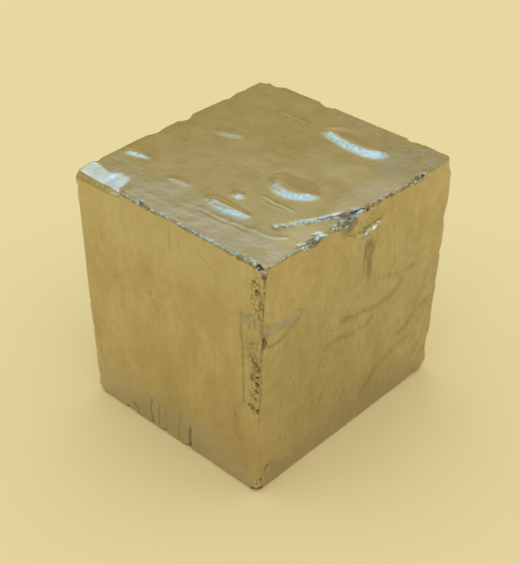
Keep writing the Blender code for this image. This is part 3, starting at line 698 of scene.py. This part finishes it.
class Nodes:
    """Shorthand for building a node tree."""

    def __init__(self, tree):
        self.tree = tree

    def add(self, kind, inputs=None, **settings):
        """New node with the given settings and inputs."""
        node = self.tree.nodes.new(kind)
        for name, value in settings.items():
            setattr(node, name, value)
        for name, value in (inputs or {}).items():
            self.feed(node.inputs[name], value)
        return node

    def feed(self, socket, value):
        """Link a socket to another one, or set its value."""
        if isinstance(value, bpy.types.NodeSocket):
            self.tree.links.new(value, socket)
        else:
            socket.default_value = value

    def noise(self, coordinates, scale, detail=3.0, roughness=0.55):
        """Values of a noise texture, from about 0 to 1."""
        node = self.add("ShaderNodeTexNoise", {
            "Vector": coordinates, "Scale": scale, "Detail": detail, "Roughness": roughness})
        return node.outputs["Fac"]

    def ramp(self, value, low, high, start=0.0, end=1.0):
        """Value carried from the range low to high over to start to end."""
        node = self.add("ShaderNodeMapRange", {
            "Value": value, "From Min": low, "From Max": high, "To Min": start, "To Max": end})
        return node.outputs["Result"]

    def math(self, operation, first, second):
        """Sum, product or the like of two values."""
        node = self.add("ShaderNodeMath", {0: first, 1: second}, operation=operation)
        return node.outputs["Value"]

    def blend(self, share, first, second):
        """First colour where the share is 0, and the second where it is 1."""
        # A mix node keeps its colours in inputs 6 and 7 and in output 2
        node = self.add("ShaderNodeMix", data_type="RGBA")
        self.feed(node.inputs["Factor"], share)
        self.feed(node.inputs[6], first)
        self.feed(node.inputs[7], second)
        return node.outputs[2]

    def attribute(self, name):
        """One of the surface values that the mesh keeps."""
        return self.add("ShaderNodeAttribute", attribute_name=name).outputs["Fac"]


# Colours of the metal and the floor; the glint, pale, grey and dark colours also serve painted
# glints, painted highlights, painted reflections and painted shade
DEEP_BRASS = (0.51, 0.425, 0.246, 1.0)
BRASS = (0.59, 0.51, 0.312, 1.0)
MOTTLE = (0.42, 0.345, 0.21, 1.0)
FRESH_BREAK = (0.60, 0.57, 0.46, 1.0)
DIM_GLINT = (0.40, 0.43, 0.345, 1.0)
GLINT = (0.58, 0.60, 0.45, 1.0)
PALE = (0.69, 0.66, 0.50, 1.0)
TARNISH_AND_REFLECTION = (0.48, 0.46, 0.41, 1.0)
STAIN_AND_SHADE = (0.11, 0.085, 0.05, 1.0)
RUST = (0.17, 0.065, 0.02, 1.0)
FLOOR = (0.955, 0.66, 0.275, 1.0)


def pyrite_material():
    """Satin brassy metal: mottled faces, brighter breaks, dark stains and a little rust, with
    painted shade, painted glints, painted highlights and painted reflections.
    """
    material = bpy.data.materials.new("pyrite")
    material.use_nodes = True
    shader = material.node_tree.nodes["Principled BSDF"]
    nodes = Nodes(material.node_tree)
    place = nodes.add("ShaderNodeTexCoord").outputs["Object"]
    broken = nodes.attribute("broken")
    dark = nodes.attribute("dark")
    rust = nodes.attribute("rust")
    tarnish_and_reflection = nodes.attribute("tarnish_and_reflection")
    pale = nodes.attribute("pale")
    slope = nodes.attribute("slope")

    upright = nodes.add("ShaderNodeMapping", {"Vector": place, "Scale": (1.0, 1.0, 0.55)})
    upright = upright.outputs["Vector"]
    mottle = nodes.noise(upright, 850.0, 5.0, 0.52)
    cloud = nodes.noise(upright, 210.0, 4.0, 0.6)
    colour = nodes.blend(nodes.ramp(cloud, 0.35, 0.65), DEEP_BRASS, BRASS)
    colour = nodes.blend(nodes.ramp(mottle, 0.42, 0.68, 0.0, 0.45), colour, MOTTLE)
    colour = nodes.blend(nodes.math("MULTIPLY", broken, 0.3), colour, FRESH_BREAK)
    # Painted glint: the front slopes of the top plates are tinted paler and bluer
    glint = nodes.ramp(nodes.noise(place, 1300.0, 2.0, 0.5), 0.42, 0.6)
    glint = nodes.blend(glint, DIM_GLINT, GLINT)
    colour = nodes.blend(nodes.math("MULTIPLY", slope, 0.8), colour, glint)
    # Paleness: painted highlight on the ledge and the broken flake, and softly paler zones
    colour = nodes.blend(pale, colour, PALE)
    # Grey tint: tarnish, and painted reflection along the foot, on the plate's slope, at the front
    # of the top and on the back slopes of the top plates
    grey_tint = nodes.math("MULTIPLY", tarnish_and_reflection, nodes.ramp(mottle, 0.35, 0.6, 0.35, 1.0))
    colour = nodes.blend(grey_tint, colour, TARNISH_AND_REFLECTION)
    # Dark: stains and cracks, and painted shade in hollows, on edge lines, on folds and over the
    # right front face
    stain_and_shade = nodes.math("MULTIPLY", dark, nodes.ramp(mottle, 0.3, 0.6, 0.65, 1.0))
    colour = nodes.blend(stain_and_shade, colour, STAIN_AND_SHADE)
    colour = nodes.blend(rust, colour, RUST)

    rough = nodes.ramp(mottle, 0.3, 0.7, 0.17, 0.28)
    rough = nodes.math("ADD", rough, nodes.math("MULTIPLY", stain_and_shade, 0.2))
    rough = nodes.math("ADD", rough, nodes.math("MULTIPLY", rust, 0.3))

    fine = nodes.noise(place, 2200.0, 2.0, 0.5)
    height = nodes.math("ADD", nodes.math("MULTIPLY", fine, 0.3), nodes.noise(upright, 850.0, 1.0))
    bump = nodes.add("ShaderNodeBump", {
        "Strength": nodes.ramp(nodes.attribute("smooth"), 0.0, 1.0, 0.22, 0.08),
        "Distance": 0.00014, "Height": height})

    nodes.feed(shader.inputs["Base Color"], colour)
    nodes.feed(shader.inputs["Roughness"], rough)
    nodes.feed(shader.inputs["Metallic"], 1.0)
    nodes.feed(shader.inputs["Normal"], bump.outputs["Normal"])
    return material


# Values that each point keeps for the material; smooth is 1 on the top, where the grain of
# the metal is fainter; dark, tarnish, pale and slope also carry painted shade, painted reflection,
# painted highlight and painted glint
SURFACE_VALUES = ("dark", "rust", "tarnish_and_reflection", "pale", "slope", "broken", "smooth")


def build_crystal():
    """The crystal, measured and dressed, attached to the root body in place of the solid, which is
    hidden.
    """
    lattice = Lattice(solid_tree("pyrite_cube"))
    values = {name: np.zeros(len(lattice.points)) for name in SURFACE_VALUES}
    values["broken"] = breaks(lattice)
    values["slope"], back_slope = slopes(lattice)
    values["smooth"] = np.where(lattice.shares[:, 2] == 1.0, 1.0, 0.0)
    hollows = cavities(lattice, values["broken"])
    square_rims(lattice, values["broken"])
    round_corner(lattice)
    low = smooth_step(SPLINTER_ZONE + 0.4, SPLINTER_ZONE - 0.6, lattice.points[:, 2])
    values["broken"] *= 1 - 0.9 * low
    ragged_rims(lattice, values)
    settle(lattice, values["broken"])
    face_relief(lattice, values)
    # Painted reflection: the back slopes of the top plates tinted grey
    values["tarnish_and_reflection"] = np.maximum(values["tarnish_and_reflection"], 0.8 * back_slope)
    roughen(lattice, values["broken"], values["slope"])
    # Painted shade in the hollows and in the chips of the front edge
    values["dark"] = np.maximum(values["dark"], 0.7 * hollows)
    crystal = crystal_object(lattice, values)
    crystal.data.materials.append(pyrite_material())
    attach(crystal, "root")
    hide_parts("pyrite_cube")


def build_floor():
    """Plain pale floor, three metres wide."""
    half = 1.5
    mesh = bpy.data.meshes.new("floor")
    mesh.from_pydata([(-half, -half, 0), (half, -half, 0), (half, half, 0), (-half, half, 0)],
                     [], [(0, 1, 2, 3)])
    floor = bpy.data.objects.new("floor", mesh)
    bpy.context.scene.collection.objects.link(floor)
    material = bpy.data.materials.new("floor")
    material.use_nodes = True
    shader = material.node_tree.nodes["Principled BSDF"]
    shader.inputs["Base Color"].default_value = FLOOR
    shader.inputs["Roughness"].default_value = 0.95
    shader.inputs["Specular IOR Level"].default_value = 0.1
    mesh.materials.append(material)


# Soft dome of light: share of the way up (sine of the elevation) and colour
DOME = [
    (0.00, (0.86, 0.70, 0.36)),
    (0.36, (0.57, 0.46, 0.20)),
    (0.45, (0.51, 0.40, 0.125)),
    (0.53, (0.66, 0.59, 0.29)),
    (0.60, (0.93, 0.92, 0.71)),
    (0.67, (0.87, 1.06, 1.20)),
    (0.75, (0.98, 1.40, 2.05)),
    (1.00, (0.98, 1.40, 2.05)),
]


def build_light():
    """Dome of soft light, warm and dim low down and bluish white above."""
    world = bpy.data.worlds.new("dome")
    bpy.context.scene.world = world
    world.use_nodes = True
    nodes = Nodes(world.node_tree)
    background = world.node_tree.nodes["Background"]
    way = nodes.add("ShaderNodeTexCoord").outputs["Generated"]
    rise = nodes.add("ShaderNodeSeparateXYZ", {0: way}).outputs["Z"]
    ramp = nodes.add("ShaderNodeValToRGB", {0: rise})
    stops = ramp.color_ramp.elements
    while len(stops) > 1:
        stops.remove(stops[-1])
    stops[0].position = DOME[0][0]
    stops[0].color = (*DOME[0][1], 1)
    for position, colour in DOME[1:]:
        stops.new(position).color = (*colour, 1)
    nodes.feed(background.inputs["Color"], ramp.outputs["Color"])


# Camera: the way it looks (degrees), its distance and the point it looks at, with its small
# offset across the view
AZIMUTH = 42.30
ELEVATION = 35.17
ROLL = 0.37
DISTANCE = 228.9
TARGET = (-0.2, 0.0, 25.47)
OFFSET = (-0.88, -1.15)
FOCAL_LENGTH = 74.23
SENSOR = 36.0


def build_camera():
    """Camera that looks at the crystal from the right front, a little above."""
    azimuth, elevation, roll = (math.radians(angle) for angle in (AZIMUTH, ELEVATION, ROLL))
    back = Vector((math.sin(azimuth) * math.cos(elevation),
                   -math.cos(azimuth) * math.cos(elevation), math.sin(elevation)))
    level = Vector((math.cos(azimuth), math.sin(azimuth), 0))
    steep = back.cross(level)
    right = level * math.cos(roll) + steep * math.sin(roll)
    up = steep * math.cos(roll) - level * math.sin(roll)
    eye = Vector(TARGET) + back * DISTANCE + right * OFFSET[0] + up * OFFSET[1]
    data = bpy.data.cameras.new("camera")
    data.lens = FOCAL_LENGTH
    data.sensor_width = SENSOR
    data.clip_start = 0.01
    camera = bpy.data.objects.new("camera", data)
    pose = Matrix((right, up, back)).transposed().to_4x4()
    pose.translation = eye * MM
    camera.matrix_world = pose
    bpy.context.scene.collection.objects.link(camera)
    bpy.context.scene.camera = camera


build_camera()
build_floor()
build_light()
build_crystal()
bpy.context.scene.view_settings.view_transform = "Standard"
bpy.context.view_layer.update()
